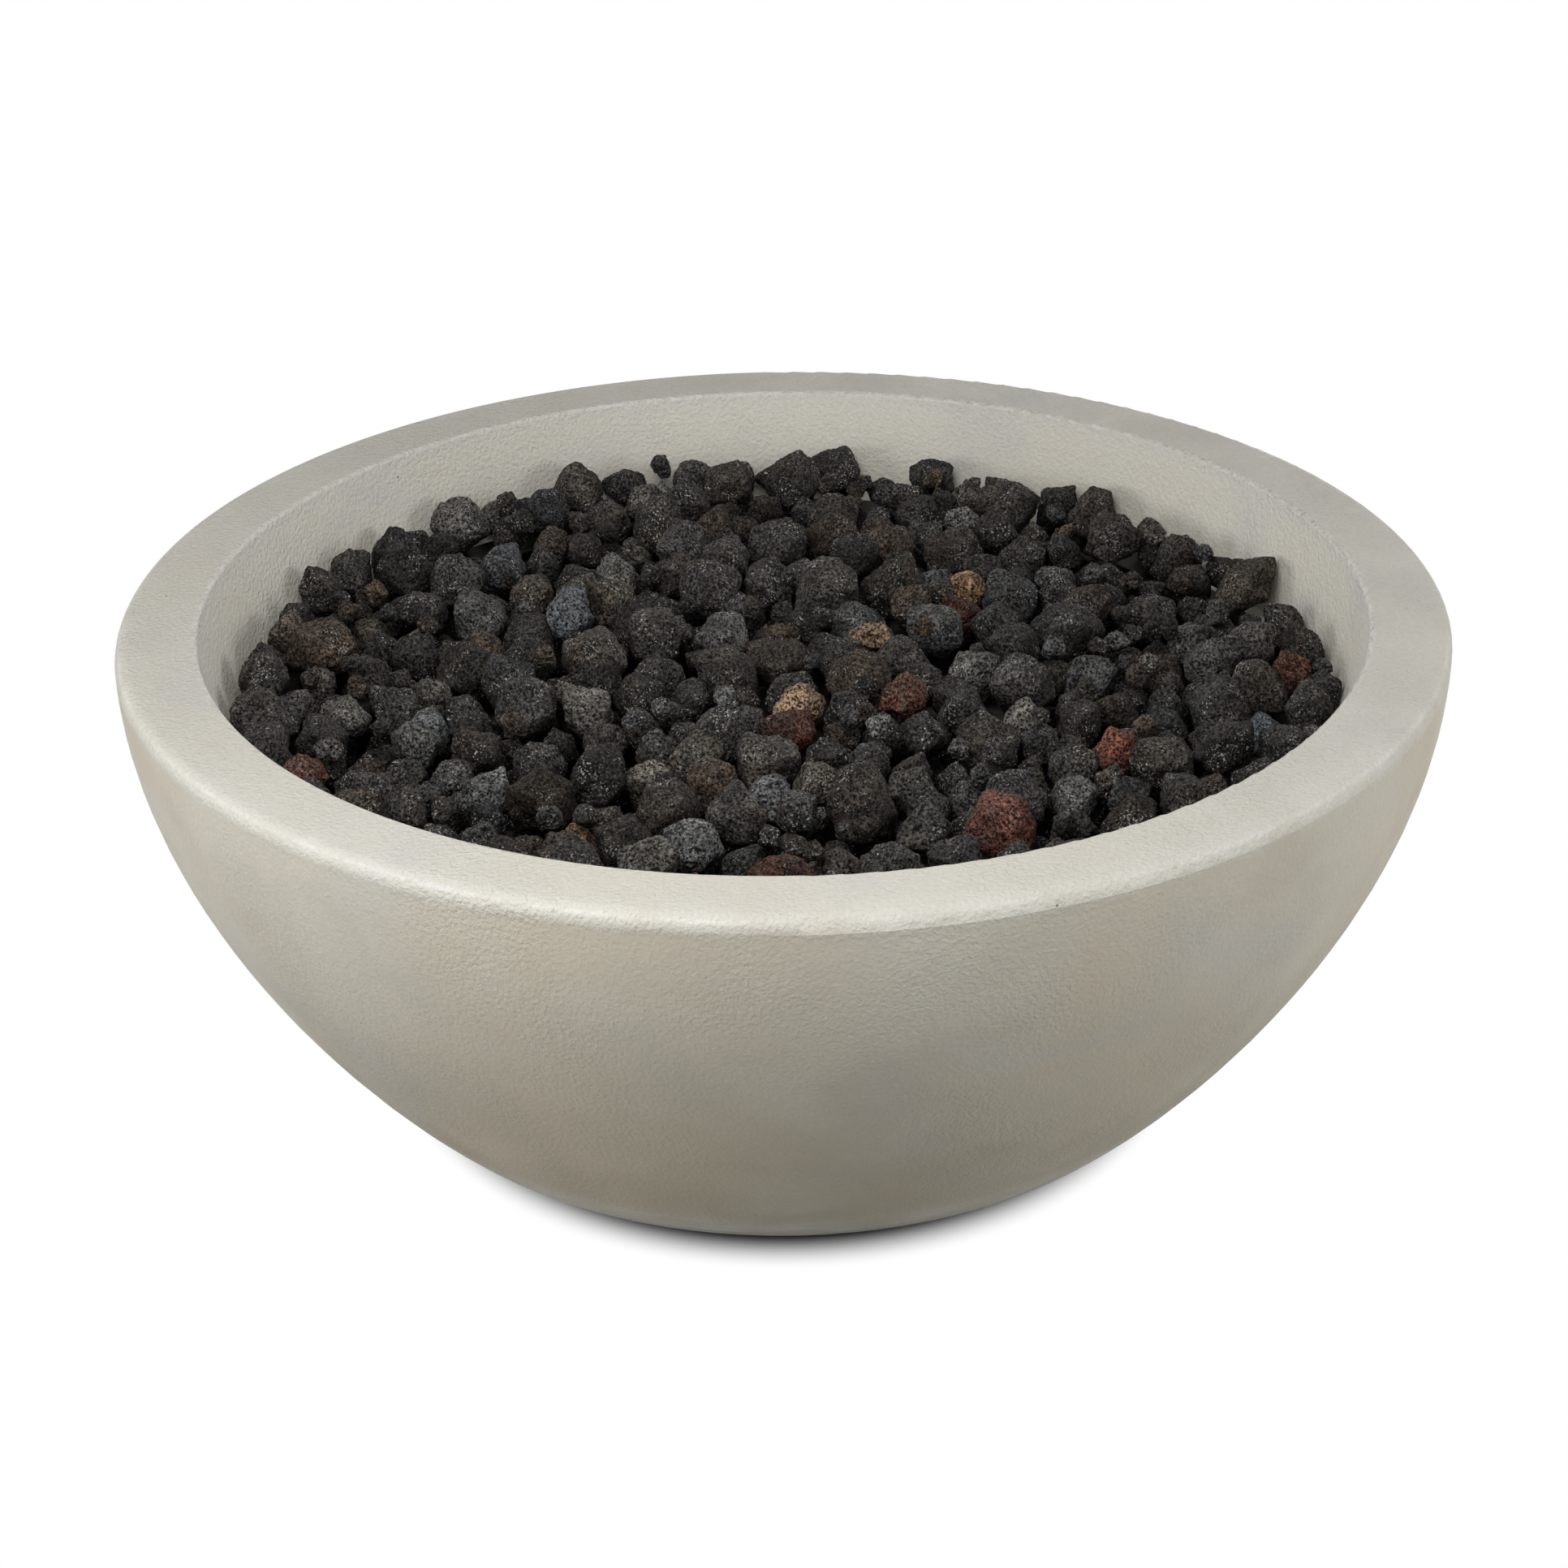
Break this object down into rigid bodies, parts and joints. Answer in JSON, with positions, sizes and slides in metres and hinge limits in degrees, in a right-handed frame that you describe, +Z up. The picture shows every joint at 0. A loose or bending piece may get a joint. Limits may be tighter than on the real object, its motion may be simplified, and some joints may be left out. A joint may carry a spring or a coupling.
{
  "type": "gas fire pit bowl",
  "caption": "Round cast concrete fire bowl with a flat rim, a bed of loose lava stones over a star gas burner, and a knob, igniter and gas inlet in a recess at the back.",
  "frame": {"origin": "centre of the underside, on the plane of the foot pads", "axes": "+Z up, +Y towards the controls at the back, -Y towards the viewer of the picture"},
  "size_m": [0.737, 0.7368, 0.275],
  "materials": {
    "concrete": "cast concrete, sealed, matt",
    "pad_rubber": "matt",
    "pan_steel": "mill finish",
    "panel_steel": "brushed",
    "burner_steel": "heat dulled",
    "fixing_steel": "satin",
    "hose_steel": "satin",
    "lead_metal": "satin",
    "insert_brass": "plain",
    "gas_brass": "plain",
    "pipe_aluminium": "plain",
    "knob_plastic": "fine texture",
    "igniter_plastic": "satin",
    "button_plastic": "gloss",
    "lead_rubber": "matt",
    "electrode_ceramic": "glazed white",
    "lava_charcoal": "porous lava",
    "lava_grey": "porous lava",
    "lava_brown": "porous lava",
    "lava_rust": "porous lava",
    "lava_tan": "porous lava"
  },
  "bodies": {
    "bowl": {"bowl_shell": "concrete", "foot_pads": "pad_rubber", "burner_pan": "pan_steel", "pan_screws": "fixing_steel", "pan_inserts": "insert_brass", "burner_hub": "burner_steel", "burner_arms": "burner_steel", "arm_end_caps": "burner_steel", "hub_lock_nut": "fixing_steel", "air_mixer": "burner_steel", "gas_jet": "gas_brass", "feed_elbow": "gas_brass", "gas_flex_connector": "hose_steel", "flare_nuts": "gas_brass", "gas_valve_body": "gas_brass", "valve_nut": "gas_brass", "control_panel": "panel_steel", "panel_screws": "fixing_steel", "panel_inserts": "insert_brass", "gas_inlet_fitting": "gas_brass", "inlet_nut": "gas_brass", "inlet_pipe": "pipe_aluminium", "igniter_body": "igniter_plastic", "igniter_nut": "igniter_plastic", "igniter_lead": "lead_rubber", "spark_electrode": "electrode_ceramic", "thermocouple": "burner_steel", "thermocouple_lead": "lead_metal", "pilot_bracket": "pan_steel", "bracket_screws": "fixing_steel", "heat_shield": "pan_steel", "shield_standoffs": "fixing_steel", "lava_stones_lower": "lava_charcoal", "lava_stones_charcoal": "lava_charcoal", "lava_stones_grey": "lava_grey", "lava_stones_brown": "lava_brown", "lava_stones_rust": "lava_rust", "lava_stones_tan": "lava_tan"},
    "knob_slider": {"spindle_washer": "fixing_steel"},
    "knob": {"valve_spindle": "fixing_steel", "control_knob": "knob_plastic"},
    "igniter_button": {"igniter_button": "button_plastic"}
  },
  "joints": [
    {"name": "knob_push", "type": "slide", "parent": "bowl", "child": "knob_slider", "axis": [0, -1, 0], "range_m": [0, 0.004], "stiffness_N_per_m": 600, "springref_m": -0.004},
    {"name": "knob_turn", "type": "hinge", "parent": "knob_slider", "child": "knob", "pos_m": [0, 0.281, 0.104], "axis": [0, 1, 0], "range_deg": [0, 180]},
    {"name": "igniter_push", "type": "slide", "parent": "bowl", "child": "igniter_button", "axis": [0, -1, 0], "range_m": [0, 0.005], "stiffness_N_per_m": 800, "springref_m": -0.003}
  ]
}
